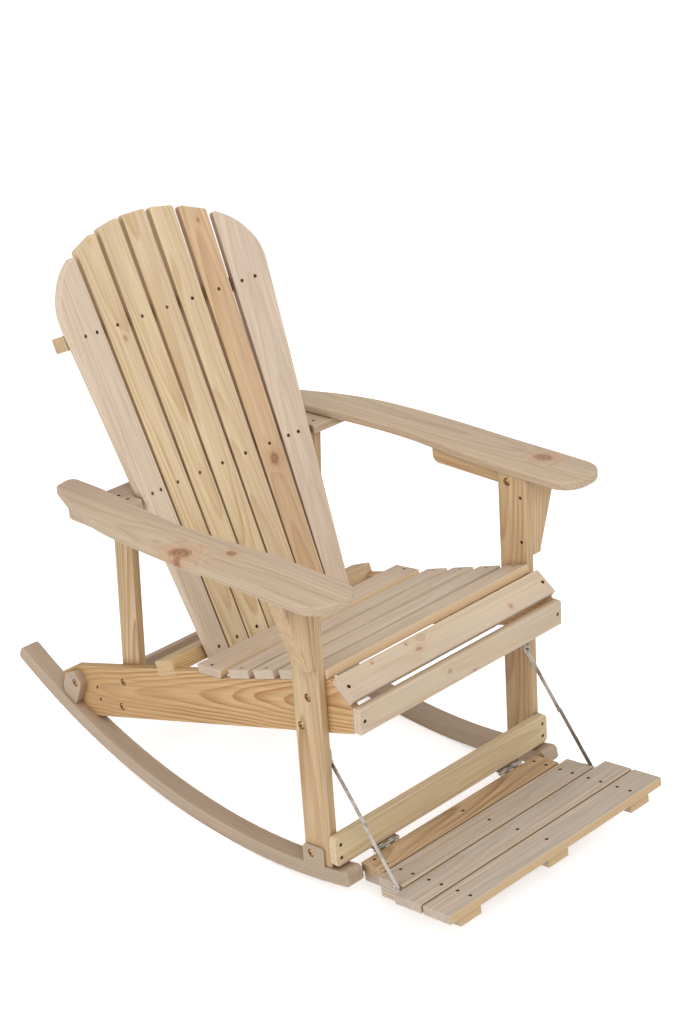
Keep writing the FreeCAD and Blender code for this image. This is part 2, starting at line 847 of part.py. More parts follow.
def footrest_slat(index):
    half = foot_slat_halves[index]
    start = foot_slat_starts[index]
    end = start + foot_slat_widths[index]
    points = ((-half, start), (-half, end), (half, end), (half, start))
    return foot_board(points, [board_corner] * 4, -hinge_rise - slat_thickness, slat_thickness)


def outer_cleat():
    """The cleat on the sitter's left, narrower at the rear to pass inside the rocker."""
    start = foot_slat_starts[0]
    neck_end = start + first_foot_slat_width
    end = foot_slats_end + cleat_toe
    points = ((cleat_inner, start), (cleat_inner, end), (cleat_outer, end), (cleat_outer, neck_end + 8),
              (cleat_neck_outer, neck_end - 4), (cleat_neck_outer, start))
    return foot_board(points, [board_corner] * 6, cleat_underside, cleat_thickness)


def middle_cleat():
    half = cleat_width / 2
    start = foot_slat_starts[0]
    end = foot_slats_end + cleat_toe
    points = ((-half, start), (-half, end), (half, end), (half, start))
    return foot_board(points, [board_corner] * 4, cleat_underside, cleat_thickness)


# Hinges: the fixed leaf lies under the front stretcher, the moving leaf on the slat's rear edge

def hinge_leaf(moving):
    """A leaf drawn about the pin: knuckles along x, the plate along y, its face at the top."""
    pitch = hinge_length / hinge_knuckles
    inner = hinge_knuckle_radius - hinge_leaf_thickness
    clear = hinge_knuckle_radius + hinge_swing_clearance
    half = hinge_length / 2
    leaf = box_between((-half, clear, inner), (half, hinge_leaf_depth, hinge_knuckle_radius))
    for i in range(1 if moving else 0, hinge_knuckles, 2):
        begin = i * pitch - half + hinge_knuckle_gap / 2
        end = begin + pitch - hinge_knuckle_gap
        leaf = leaf.fuse(rod(hinge_knuckle_radius, Vector(begin, 0, 0), AXIS_X, end - begin))
        leaf = leaf.fuse(box_between((begin, 0, inner), (end, clear + 1, hinge_knuckle_radius)))
    bore = rod(hinge_pin_radius + hinge_pin_clearance, Vector(-half - 1, 0, 0), AXIS_X, hinge_length + 2)
    return leaf.cut(bore).removeSplitter()


def hinge_leaves(moving):
    leaves = []
    for x in (hinge_centre, -hinge_centre):
        if moving:
            leaves.append(placed(hinge_leaf(True), hinge_axis + AXIS_X * x, -AXIS_X, -foot_above))
        else:
            leaves.append(placed(hinge_leaf(False), hinge_axis + AXIS_X * x, AXIS_X, AXIS_Y))
    return leaves


def hinge_pins():
    """Each pin ends in two small heads that keep it in the knuckles."""
    pins = []
    for x in (hinge_centre, -hinge_centre):
        start = hinge_axis + AXIS_X * (x - hinge_length / 2)
        pin = rod(hinge_pin_radius, start, AXIS_X, hinge_length)
        for end in (start - AXIS_X, start + AXIS_X * hinge_length):
            pin = pin.fuse(rod(0.8 * hinge_knuckle_radius, end, AXIS_X, 1))
        pins.append(pin)
    return pins


def hinge_screws(moving):
    ahead = (hinge_knuckle_radius + hinge_swing_clearance + hinge_leaf_depth) / 2
    screws = []
    for centre in (hinge_centre, -hinge_centre):
        for offset in (-hinge_screw_spread / 2, hinge_screw_spread / 2):
            x = centre + offset
            inner = hinge_knuckle_radius - hinge_leaf_thickness
            if moving:
                screws.append(tack(foot_point(x, inner, -ahead), foot_ahead))
            else:
                screws.append(tack(hinge_axis + Vector(x, ahead, inner), AXIS_Z))
    return screws


# Folding stays, drawn on the sitter's left and mirrored

stay_plate_face = rail_outer - stay_plate_thickness
upper_link_outer = stay_plate_face - stay_clearance
upper_link_inner = upper_link_outer - stay_thickness
lower_link_inner = stay_plate_face
lower_link_outer = lower_link_inner + stay_thickness
stay_top = Vector(0, leg_front_y + stay_pivot_setback, stay_pivot_height)
stay_foot = foot_point(0, stay_foot_reach, -hinge_rise - slat_thickness / 2)
stay_joint = (stay_top + stay_foot) * 0.5


def stay_link(start, end, inner_x):
    """A round-ended steel strip with a rivet hole at its start."""
    along = end - start
    length = along.Length
    half = stay_width / 2
    points = ((-half, -half), (length + half, -half), (length + half, half), (-half, half))
    strip = plate(points, half, stay_thickness)
    bore = rod(stay_rivet_radius + stay_rivet_clearance, Vector(0, 0, -1), AXIS_Z, stay_thickness + 2)
    strip = strip.cut(bore)
    along.normalize()
    return placed(strip, start + AXIS_X * inner_x, along, AXIS_X.cross(along))


def upper_link():
    strip = stay_link(stay_top, stay_joint, upper_link_inner)
    head = rod(stay_head_radius, stay_joint + AXIS_X * upper_link_inner, -AXIS_X, stay_head_height)
    return strip.fuse(head)


def lower_link():
    strip = stay_link(stay_foot, stay_joint, lower_link_inner)
    head = rod(stay_head_radius, stay_joint + AXIS_X * lower_link_outer, AXIS_X, stay_joint_head_height)
    return strip.fuse(head)


def stay_rivet(start, outward, length):
    """A rivet through a link: its shank, and a round head beyond the link."""
    shank = rod(stay_rivet_radius, start, outward, length)
    return shank.fuse(rod(stay_head_radius, start + outward * length, outward, stay_head_height))


def leg_plate():
    """The plate on the inside of the leg that carries the upper link."""
    half = stay_plate_width / 2
    above = stay_plate_length - half
    points = ((stay_top.y - half, stay_top.z - half), (stay_top.y + half, stay_top.z - half),
              (stay_top.y + half, stay_top.z + above), (stay_top.y - half, stay_top.z + above))
    body = side_plate(points, half, stay_plate_face, stay_plate_thickness)
    reach = stay_clearance + stay_thickness + stay_clearance
    body.translate(AXIS_Y * (half - stay_pivot_setback + board_edge / 2))
    return body.fuse(stay_rivet(stay_top + AXIS_X * stay_plate_face, -AXIS_X, reach))


def foot_plate():
    """The plate on the end of the footrest's second slat that carries the lower link."""
    half = stay_plate_width / 2
    rear = stay_foot_plate_length - half
    points = ((-rear, -half), (half, -half), (half, half), (-rear, half))
    board = plate(points, half, stay_foot_plate_thickness)
    body = placed(board, stay_foot + AXIS_X * foot_plate_face, foot_ahead, foot_above)
    reach = stay_clearance + stay_thickness + stay_clearance
    return body.fuse(stay_rivet(stay_foot + AXIS_X * foot_plate_face, AXIS_X, reach))


def stay_leg_screws():
    y = stay_top.y + stay_plate_width / 2 - stay_pivot_setback + board_edge / 2
    screws = []
    for rise in (stay_screw_spread / 2, stay_screw_spread):
        head = Vector(stay_plate_face, y, stay_top.z + rise)
        screws += [tack(head, AXIS_X), tack(mirrored_point(head), -AXIS_X)]
    return screws


def stay_foot_screws():
    screws = []
    for back in (stay_screw_spread / 2, stay_screw_spread - 2):
        head = stay_foot - foot_ahead * back + AXIS_X * foot_plate_face
        screws += [tack(head, -AXIS_X), tack(mirrored_point(head), AXIS_X)]
    return screws


# Screws and bolts of the frame

def above_rocker(y, rise):
    return y, arc_height(rocker_top_radius, y) + rise


def frame_bolts():
    post_inner = rail_inner - frame_thickness
    runs = []
    for offset, rise in post_bolts:
        z = post_foot() + rise
        runs.append(((post_middle_y(z) + offset, z), rail_outer, post_inner))
    for setback, rise in leg_bolts:
        y = leg_front_y + setback
        runs.append(((y, rail_lower_edge(y) + rise), leg_outer, rail_inner))
    front_place = above_rocker(leg_front_y + front_ear_bolt[0], front_ear_bolt[1])
    rear_place = above_rocker(rear_ear_front + rear_ear_bolt[0], rear_ear_bolt[1])
    arm_place = (leg_front_y + arm_rail_bolt[0], arm_height - arm_rail_bolt[1])
    runs.append((front_place, rocker_outer, rail_outer))
    runs.append((rear_place, rear_ear_outer, rail_inner))
    runs.append((arm_place, rail_outer, leg_outer + frame_thickness))
    bolts = []
    nuts = []
    for place, head_x, nut_x in runs:
        bolt, nut = bolt_through(place, head_x, nut_x)
        bolts += [bolt, mirrored(bolt)]
        nuts += [nut, mirrored(nut)]
    return bolts, nuts


def back_screws():
    """One screw in every slat at each rail, two in the outer slats above the lower rail."""
    screws = []
    for level in (top_rail_level, 0, lower_rail_level):
        for place in range(-outer_place, outer_place + 1):
            left, right = slat_sides(place, level)
            shares = [0.5]
            if abs(place) == outer_place and level > lower_rail_level:
                shares = [inner_screw_share, outer_screw_share]
            for share in shares:
                x = left + share * (right - left) if place >= 0 else right - share * (right - left)
                point, outward = slat_point(place, x, level)
                screws.append(screw(point, -outward))
    return screws


def seat_screws():
    x = rail_outer - frame_screw_inset
    screws = []
    for y, z, slope, width in seat_places():
        y, z = slope_point(y, z, slope, width / 2, slat_thickness)
        down = Vector(0, -sine(slope), -cosine(slope))
        screws += screws_both_sides(Vector(x, y, z), down)
    return screws


def apron_screws():
    x = rail_outer - frame_screw_inset
    y, z = slope_point(*upper_apron_front(), -apron_slope, upper_apron_width / 2, slat_thickness)
    screws = screws_both_sides(Vector(x, y, z), Vector(0, sine(apron_slope), -cosine(apron_slope)))
    middle = lower_apron_bottom + lower_apron_height / 2
    screws += screws_both_sides(Vector(x, rail_front_y - slat_thickness, middle), AXIS_Y)
    return screws


def stretcher_screws():
    screws = []
    middle = front_stretcher_bottom + front_stretcher_height / 2
    x = rail_outer + frame_thickness / 2
    for rise in (-stretcher_screw_spread / 2, stretcher_screw_spread / 2):
        head = Vector(x, leg_front_y - frame_thickness, middle + rise)
        screws += screws_both_sides(head, AXIS_Y)
    for rise in (-rear_stretcher_screw_spread / 2, rear_stretcher_screw_spread / 2):
        head = stretcher_centre + stretcher_up * rise + AXIS_X * rail_outer
        screws += screws_both_sides(head, -AXIS_X)
    return screws


def arm_screws():
    """Screws down through the cross rail into the posts, and up into the arms."""
    screws = []
    x = rail_inner - frame_thickness / 2
    for offset in post_screw_offsets:
        screws += screws_both_sides(Vector(x, post_top_y + offset, arm_height), -AXIS_Z, 45.0)
    rise = frame_thickness + 0.6 * arm_thickness
    middle_y = (cross_rail_front_y + cross_rail_rear_y) / 2
    for outward in (0.25, 0.75):
        x = rail_outer + outward * (cross_rail_half - rail_outer)
        screws += screws_both_sides(Vector(x, middle_y, cross_rail_underside), AXIS_Z, rise)
    x = leg_outer + frame_thickness / 2
    rise = arm_rail_depth + 0.6 * arm_thickness
    for distance in arm_screw_distances:
        head = Vector(x, arm_rail_rear_y - distance, arm_height - arm_rail_depth)
        screws += screws_both_sides(head, AXIS_Z, rise)
    return screws


def bracket_screws():
    """Screws from inside the leg into the bracket, and into the rocker's front ear."""
    screws = []
    for drop in bracket_screw_drops:
        head = Vector(rail_outer, leg_front_y + bracket_screw_setback, arm_height - drop)
        screws += screws_both_sides(head, AXIS_X)
    length = rocker_outer - rail_outer - 2
    y, z = above_rocker(leg_front_y + leg_foot_screw[0], leg_foot_screw[1])
    screws += screws_both_sides(Vector(rail_outer, y, z), AXIS_X, length)
    return screws


def footrest_screws():
    screws = []
    length = slat_thickness + 0.7 * cleat_thickness
    for start, width in zip(foot_slat_starts, foot_slat_widths):
        middle = start + width / 2
        for offset in (-foot_screw_spread / 2, foot_screw_spread / 2):
            head = foot_point(cleat_inner + foot_screw_inset, middle + offset, -hinge_rise)
            screws += screws_both_sides(head, -foot_above, length)
        screws.append(screw(foot_point(0, middle, -hinge_rise), -foot_above, length))
    return screws


def make_boards():
    left_rocker = rocker()
    lower_rail = lower_back_rail()
    add_pair("rocker", left_rocker)
    add_pair("side_rail", side_rail().cut(lower_rail))
    add_pair("front_leg", front_leg().cut(left_rocker))
    add_pair("rear_post", rear_post())
    add_pair("arm_bracket", arm_bracket())
    add_pair("arm_support_rail", arm_support_rail())
    add_pair("arm", arm())
    add("arm_cross_rail", arm_cross_rail())
    add("top_back_rail", top_back_rail())
    add("lower_back_rail", lower_rail)
    for place in range(-outer_place, outer_place + 1):
        add("back_slat_%d" % (place + outer_place + 1), back_slat(place))
    for index, place in enumerate(seat_places()):
        add("seat_slat_%d" % (index + 1), seat_slat(*place))
    add("upper_apron", upper_apron())
    add("lower_apron", lower_apron())
    add("front_stretcher", front_stretcher())
    add("rear_stretcher", rear_stretcher())
    for index in range(len(foot_slat_halves)):
        add("footrest_slat_%d" % (index + 1), footrest_slat(index))
    add_pair("footrest_cleat", outer_cleat())
    add("footrest_cleat_middle", middle_cleat())


def make_fittings():
    add_group("hinge_fixed_leaves", hinge_leaves(False))
    add_group("hinge_moving_leaves", hinge_leaves(True))
    add_group("stay_leg_plates", [leg_plate(), mirrored(leg_plate())])
    add_group("stay_foot_plates", [foot_plate(), mirrored(foot_plate())])
    add_pair("stay_upper_link", upper_link())
    add_pair("stay_lower_link", lower_link())


def make_fasteners():
    bolts, nuts = frame_bolts()
    add_group("frame_bolts", bolts)
    add_group("frame_nuts", nuts)
    add_group("back_slat_screws", back_screws())
    add_group("seat_screws", seat_screws())
    add_group("apron_screws", apron_screws())
    add_group("stretcher_screws", stretcher_screws())
    add_group("arm_screws", arm_screws())
    add_group("bracket_screws", bracket_screws())
    add_group("footrest_screws", footrest_screws())
    add_group("leg_fitting_screws", hinge_screws(False) + stay_leg_screws())
    add_group("footrest_fitting_screws", hinge_screws(True) + stay_foot_screws())
    add_group("hinge_pins", hinge_pins())


def drilled(shape):
    """The piece with a hole for every screw and bolt that reaches it."""
    near = [hole for hole in holes if hole.BoundBox.intersect(shape.BoundBox)]
    return shape.cut(near) if near else shape


def stand(shape):
    """Turns the level chair back to the way it stands by itself."""
    shape.rotate(Vector(0, 0, rocker_radius), AXIS_X, -rest_pitch)
    return shape


make_boards()
make_fittings()
drillable = list(nodes)
make_fasteners()
for node_name in drillable:
    nodes[node_name] = drilled(nodes[node_name])
for node_name, node_shape in nodes.items():
    stand(node_shape.copy()).exportStep("parts/%s.step" % node_name)
print(len(nodes), "pieces")
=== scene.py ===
import math
import random

import bpy
from mathutils import Matrix, Vector


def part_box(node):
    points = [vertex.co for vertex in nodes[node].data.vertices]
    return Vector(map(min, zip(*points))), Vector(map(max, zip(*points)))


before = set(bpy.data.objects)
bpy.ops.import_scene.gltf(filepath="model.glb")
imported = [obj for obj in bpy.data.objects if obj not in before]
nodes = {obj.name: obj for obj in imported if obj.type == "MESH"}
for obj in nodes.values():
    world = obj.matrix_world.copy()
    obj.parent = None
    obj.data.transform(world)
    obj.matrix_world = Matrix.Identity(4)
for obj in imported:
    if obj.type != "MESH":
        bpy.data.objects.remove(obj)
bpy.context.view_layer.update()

# Sizes of the level chair that the grain follows, in metres and radians
ROCKER_RADIUS = 1.2126
ROCKER_MIDDLE_X = 0.263
REST_PITCH = math.radians(3.35)
BACK_RECLINE = math.radians(22.5)
SEAT_SLOPE = math.radians(18.5)
REAR_SEAT_SLOPE = math.radians(7.5)
APRON_SLOPE = math.radians(36)
FOOTREST_SLOPE = math.radians(6.1)
RAIL_SLOPE = math.radians(17)
POST_LEAN = math.radians(4.15)


# Shader graphs

class Graph:
    """The node tree of a material or world, and short ways to add nodes to it."""

    MIX_FACTOR, MIX_COLOUR_A, MIX_COLOUR_B, MIX_COLOUR_RESULT = 0, 6, 7, 2

    def __init__(self, owner):
        owner.use_nodes = True
        self.owner = owner
        self.tree = owner.node_tree
        self.tree.nodes.clear()

    def node(self, kind, inputs=None, **settings):
        node = self.tree.nodes.new(kind)
        for key, value in settings.items():
            setattr(node, key, value)
        for key, value in (inputs or {}).items():
            self.put(node, key, value)
        return node

    def put(self, node, key, value):
        if isinstance(value, bpy.types.NodeSocket):
            self.tree.links.new(value, node.inputs[key])
        else:
            node.inputs[key].default_value = value

    def math(self, operation, a, b=0.0, c=0.0):
        return self.node("ShaderNodeMath", {0: a, 1: b, 2: c}, operation=operation).outputs[0]

    def length(self, a, b):
        squares = self.math("ADD", self.math("POWER", a, 2.0), self.math("POWER", b, 2.0))
        return self.math("SQRT", squares)

    def vector(self, x, y, z):
        return self.node("ShaderNodeCombineXYZ", {0: x, 1: y, 2: z}).outputs[0]

    def parts(self, vector):
        return self.node("ShaderNodeSeparateXYZ", {0: vector}).outputs

    def vector_math(self, operation, a, b):
        return self.node("ShaderNodeVectorMath", {0: a, 1: b}, operation=operation).outputs

    def scaled(self, vector, scale):
        return self.vector_math("MULTIPLY", vector, scale)[0]

    def coordinates(self, kind="Object"):
        return self.node("ShaderNodeTexCoord").outputs[kind]

    def noise(self, vector, detail=2.0, roughness=0.5):
        return self.node("ShaderNodeTexNoise", {
            "Vector": vector, "Scale": 1.0, "Detail": detail, "Roughness": roughness})

    def between(self, value, low, high, out_low=0.0, out_high=1.0, smooth=True):
        return self.node("ShaderNodeMapRange", {
            0: value, 1: low, 2: high, 3: out_low, 4: out_high},
            interpolation_type="SMOOTHSTEP" if smooth else "LINEAR").outputs[0]

    def mix(self, factor, a, b, blend="MIX"):
        node = self.node("ShaderNodeMix", data_type="RGBA", blend_type=blend)
        self.put(node, self.MIX_FACTOR, factor)
        self.put(node, self.MIX_COLOUR_A, a)
        self.put(node, self.MIX_COLOUR_B, b)
        return node.outputs[self.MIX_COLOUR_RESULT]

    def ramp(self, value, stops):
        """A ramp of greys through (position, grey) stops."""
        node = self.node("ShaderNodeValToRGB", {0: value})
        elements = node.color_ramp.elements
        while len(elements) < len(stops):
            elements.new(0.5)
        for element, (position, grey) in zip(elements, stops):
            element.position = position
            element.color = (grey, grey, grey, 1)
        return node.outputs[0]

    def occlusion(self, distance, inside=False):
        node = self.node("ShaderNodeAmbientOcclusion", {"Distance": distance},
                         inside=inside, samples=3)
        return node.outputs["AO"]

    def bump(self, height, strength, distance):
        return self.node("ShaderNodeBump", {
            "Strength": strength, "Distance": distance, "Height": height}).outputs[0]

    def surface(self, inputs):
        return self.node("ShaderNodeBsdfPrincipled", inputs).outputs[0]


def material_graph(name):
    return Graph(bpy.data.materials.new(name))


def finish_material(graph, shader):
    graph.node("ShaderNodeOutputMaterial", {0: shader})
    return graph.owner


def linear(red, green, blue):
    """A colour written as the eye sees it on screen, 0 to 255, for a shader."""
    def channel(value):
        value /= 255
        return value / 12.92 if value <= 0.04045 else ((value + 0.055) / 1.055) ** 2.4
    return (channel(red), channel(green), channel(blue), 1)


# Directions and places on the level chair, turned back to the way it stands

def turned(x, y, z):
    c, s = math.cos(REST_PITCH), math.sin(REST_PITCH)
    return Vector((x, c * y + s * z, -s * y + c * z))


def spot(x, y, z):
    """A place on the level chair, in millimetres, as it lies on the standing chair."""
    y, z = y / 1000, z / 1000 - ROCKER_RADIUS
    c, s = math.cos(REST_PITCH), math.sin(REST_PITCH)
    return Vector((x / 1000, c * y + s * z, ROCKER_RADIUS - s * y + c * z))


X = Vector((1, 0, 0))
LEVEL_UP = turned(0, 0, 1)
LEVEL_REAR = turned(0, 1, 0)
BACK_UP = turned(0, math.sin(BACK_RECLINE), math.cos(BACK_RECLINE))
BACK_FACE = turned(0, -math.cos(BACK_RECLINE), math.sin(BACK_RECLINE))
SEAT_FACE = turned(0, math.sin(SEAT_SLOPE), math.cos(SEAT_SLOPE))
REAR_SEAT_FACE = turned(0, math.sin(REAR_SEAT_SLOPE), math.cos(REAR_SEAT_SLOPE))
APRON_FACE = turned(0, -math.sin(APRON_SLOPE), math.cos(APRON_SLOPE))
FOOT_FACE = turned(0, math.sin(FOOTREST_SLOPE), math.cos(FOOTREST_SLOPE))
FOOT_AHEAD = turned(0, -math.cos(FOOTREST_SLOPE), math.sin(FOOTREST_SLOPE))
RAIL_ALONG = turned(0, -math.cos(RAIL_SLOPE), math.sin(RAIL_SLOPE))
POST_UP = turned(0, -math.sin(POST_LEAN), math.cos(POST_LEAN))

# Knots by board: a place on the level chair and the knot's length and width along the
# grain, in millimetres, and its strength
KNOTS = {
    "back_slat_1": (((-213.3, 267.4, 589.6), (10, 6), 0.25),),
    "back_slat_2": (((-120.5, 393.5, 857.7), (6, 4), 0.6),),
    "back_slat_6": (((112.5, 274.1, 569.2), (13, 10), 0.9),
                    ((128.0, 454.2, 1008.4), (5, 3), 0.8)),
    "arm_left": (((330, -216, 620), (20, 16), 0.75),),
    "arm_right": (((-352, 8, 620), (24, 19), 1.0),
                  ((-372, -4, 612), (9, 9), 1.0),
                  ((-299, -63, 620), (11, 9), 0.9)),
    "upper_apron": (((-179, -262, 427), (3, 3), 0.6),
                    ((-95, -261, 428), (3, 3), 0.7),
                    ((-79, -276, 417), (8, 4), 0.6),
                    ((151, -285, 410), (4, 5), 0.6),
                    ((-60, -262, 427), (12, 9), 0.25)),
    "lower_apron": (((-39, -309, 368), (6, 5), 0.5),
                    ((24, -309, 343), (6, 3), 0.5)),
}


# Wood: growth rings round a log's heart beside the board, warped, with fibres and knots

class Wood:
    """How one kind of board looks: its early wood, late wood and passing tint, the rings'
    spacing in metres and contrast, how far they warp, how steeply they run out of the
    board, how far off the log's heart lies, and how rough and fibrous it is. Warm is a
    painted light: the warmer, brighter colour given to faces that point forward, as if lit
    from the front."""

    def __init__(self, light, late, tint, ring=0.0046, contrast=0.5, warp=0.006, tilt=0.02,
                 heart=0.06, roughness=0.62, fibre=0.5, warm=None):
        self.light = light
        self.late = late
        self.tint = tint
        self.ring = ring
        self.contrast = contrast
        self.warp = warp
        self.tilt = tilt
        self.heart = heart
        self.roughness = roughness
        self.fibre = fibre
        self.warm = warm


SLAT = Wood(linear(226, 202, 162), linear(192, 148, 94), linear(212, 186, 154),
            ring=0.0062, contrast=0.85, warp=0.010, fibre=0.9)
PALE = Wood(linear(222, 202, 178), linear(198, 164, 130), linear(210, 188, 168),
            ring=0.0064, contrast=0.65, fibre=0.7)
PINK = Wood(linear(218, 186, 146), linear(180, 130, 84), linear(206, 172, 138),
            ring=0.0058, contrast=0.8, fibre=0.8)
SEAT = Wood(linear(208, 190, 168), linear(184, 154, 122), linear(194, 174, 156),
            ring=0.0056, contrast=0.65, warp=0.008, fibre=0.8)
# Its warm colour is painted front light on faces that point forward.
SEAT_EDGE = Wood(linear(208, 190, 168), linear(184, 154, 122), linear(196, 172, 150),
                 ring=0.0056, contrast=0.65, warp=0.008, fibre=0.8,
                 warm=linear(230, 198, 156))
APRON = Wood(linear(211, 191, 164), linear(189, 158, 125), linear(200, 178, 156),
             ring=0.0080, contrast=0.45, warp=0.012, fibre=0.6)
ARM = Wood(linear(197, 176, 149), linear(174, 136, 109), linear(185, 161, 140),
           ring=0.0058, contrast=0.65, warp=0.010, fibre=0.7)
RAIL = Wood(linear(207, 171, 120), linear(150, 86, 38), linear(194, 153, 105),
            ring=0.0054, contrast=1.0, warp=0.012, tilt=0.045, heart=0.038, fibre=0.9)
BACK_RAIL = Wood(linear(212, 180, 126), linear(168, 116, 62), linear(204, 178, 144),
                 ring=0.0050, contrast=0.8, fibre=0.9)
LEG = Wood(linear(210, 182, 142), linear(160, 114, 68), linear(198, 168, 130),
           ring=0.0040, contrast=1.0, heart=0.10, fibre=1.1)
ROCKER = Wood(linear(186, 164, 140), linear(167, 142, 116), linear(176, 154, 132),
              contrast=0.35, warp=0.004, roughness=0.5, fibre=0.6)
# Their warm colours are painted front light on faces that point forward.
FOOT = Wood(linear(204, 186, 166), linear(170, 140, 108), linear(186, 172, 158),
            ring=0.0064, contrast=0.75, warp=0.012, fibre=0.9, warm=linear(206, 172, 124))
FOOT_REAR = Wood(linear(206, 176, 138), linear(146, 104, 66), linear(192, 162, 128),
                 ring=0.0034, contrast=1.0, heart=0.09, fibre=1.5,
                 warm=linear(190, 150, 100))
STRETCHER = Wood(linear(224, 202, 162), linear(190, 152, 104), linear(212, 190, 156),
                 ring=0.0070, contrast=0.75, warp=0.010, fibre=0.8)

# Patterns per metre along the grain, across the board and through it
WARP_SCALE = (2.4, 7.0, 7.0)
PATCH_SCALE = (3.0, 22.0, 22.0)
TONE_SCALE = (1.3, 13.0, 13.0)
FINE_FIBRE_SCALE = (9.0, 700.0, 700.0)
COARSE_FIBRE_SCALE = (5.0, 190.0, 190.0)
KNOT_FRAY_SCALE = (160.0, 160.0, 160.0)

# One ring from early to late wood, and how unevenly the rings follow each other
RING_PROFILE = ((0.0, 0.0), (0.35, 0.10), (0.72, 0.62), (0.90, 1.0), (1.0, 0.0))
RING_UNEVENNESS = 2.2
RING_UNEVENNESS_SCALE = 55.0

# Knots: how far they push the rings aside, and their colours
KNOT_PUSH = 1.6
KNOT_FALLOFF = 0.7
KNOT_RIPPLES = 15.0
KNOT_HALO = linear(196, 150, 112)
KNOT_LIGHT = linear(168, 122, 92)
KNOT_DARK = linear(112, 68, 52)

# Rubbed edges, painted lighter as wear and as a highlight on their rounding, and painted
# shade in narrow gaps: depth in metres, and colour, of each
RUB_AND_SHEEN_DEPTH = 0.0035
RUB_AND_SHEEN_COLOUR = linear(222, 204, 180)
GAP_SHADE_DEPTH = 0.016
GAP_SHADE_COLOUR = linear(134, 94, 52)

WOOD_BUMP = (0.3, 0.0005)
WOOD_SPECULAR = 0.35
# The direction the painted front light comes from: faces turned this way get the warm colour.
FRONT_LIGHT_FACING = (0.0, -1.0, -0.15)


def board_place(graph, origin, along, face):
    """Coordinates along the grain, across the board and through it, in metres."""
    along = Vector(along).normalized()
    face = Vector(face).normalized()
    across = face.cross(along).normalized()
    face = along.cross(across)
    turn = Matrix((along, across, face))
    shift = -(turn @ Vector(origin))
    mapping = graph.node("ShaderNodeMapping", {
        "Vector": graph.coordinates(), "Location": shift, "Rotation": turn.to_euler()})
    return mapping.outputs[0], turn, shift


def arc_place(graph, middle_x):
    """Coordinates along a rocker's arc, through its width and across its depth."""
    x, y, z = graph.parts(graph.coordinates())
    down = graph.math("SUBTRACT", ROCKER_RADIUS, z)
    along = graph.math("MULTIPLY", graph.math("ARCTAN2", y, down), ROCKER_RADIUS)
    depth = graph.math("SUBTRACT", graph.length(y, down), ROCKER_RADIUS)
    through = graph.math("SUBTRACT", x, middle_x)
    return graph.vector(along, through, depth)


def knot_distance(graph, parts, place, size):
    """Distance from a knot's middle, 1 at its rim."""
    x, y = (graph.math("DIVIDE", graph.math("SUBTRACT", parts[axis], place[axis]), size[axis])
            for axis in (0, 1))
    return graph.length(x, y)


def heart_distance(graph, wood, parts, shifted, dice):
    """Distance from the log's heart, which lies off the board and runs at a slight tilt."""
    slow = graph.noise(graph.scaled(shifted, WARP_SCALE))
    bend = graph.node("ShaderNodeSeparateColor", {0: slow.outputs["Color"]}).outputs
    side = dice.choice((-1, 1))
    heart_y = dice.uniform(-0.6, 0.6) * wood.heart
    heart_z = side * wood.heart * dice.uniform(0.7, 1.3)
    y = graph.math("MULTIPLY_ADD", bend[0], 2 * wood.warp, parts[1])
    z = graph.math("MULTIPLY_ADD", bend[1], 2 * wood.warp, parts[2])
    y = graph.math("SUBTRACT", y, heart_y + wood.warp)
    z = graph.math("SUBTRACT", z, heart_z + wood.warp)
    tilt = dice.choice((-1, 1)) * wood.tilt
    return graph.math("MULTIPLY_ADD", parts[0], tilt, graph.length(y, z))


def ring_pattern(graph, wood, radius, offset):
    """Growth rings from early wood, 0, to late wood, 1, at uneven distances."""
    place = graph.vector(graph.math("MULTIPLY", radius, RING_UNEVENNESS_SCALE), offset, 0.0)
    uneven = graph.noise(place, detail=1.0)
    phase = graph.math("MULTIPLY_ADD", uneven.outputs["Fac"], RING_UNEVENNESS,
                       graph.math("DIVIDE", radius, wood.ring))
    return graph.ramp(graph.math("FRACT", phase), RING_PROFILE)


def stain_knot(graph, colour, shifted, distance, strength):
    """A frayed dark knot with rings of its own and a warm halo."""
    rough = graph.noise(graph.scaled(shifted, KNOT_FRAY_SCALE), detail=3.0)
    frayed = graph.math("MULTIPLY_ADD", rough.outputs["Fac"], 0.7,
                        graph.math("SUBTRACT", distance, 0.35))
    ripple = graph.math("SINE", graph.math("MULTIPLY", frayed, KNOT_RIPPLES))
    halo = graph.between(frayed, 3.0, 0.9, 0.0, 0.45 * strength)
    colour = graph.mix(halo, colour, KNOT_HALO)
    dark = graph.mix(graph.between(ripple, -1.0, 1.0, 0.0, 0.8), KNOT_LIGHT, KNOT_DARK)
    inside = graph.between(frayed, 1.10, 0.70)
    return graph.mix(graph.math("MULTIPLY", inside, 0.9 * strength), colour, dark)


def rub_sheen_and_gap_shade(graph, colour):
    """Rubbed edges painted lighter, as wear and as a highlight on their rounding, and painted
    shade in the narrow gaps between boards.
    """
    # Wear and painted highlight: convex edges within the rub depth are painted lighter.
    rim = graph.occlusion(RUB_AND_SHEEN_DEPTH, inside=True)
    colour = graph.mix(graph.between(rim, 0.98, 0.55, 0.0, 0.30), colour, RUB_AND_SHEEN_COLOUR)
    # Painted shade: the colour darkens where other surfaces stand close, in gaps and corners.
    gap = graph.occlusion(GAP_SHADE_DEPTH)
    return graph.mix(graph.between(gap, 0.85, 0.25, 0.0, 0.80), colour, GAP_SHADE_COLOUR)


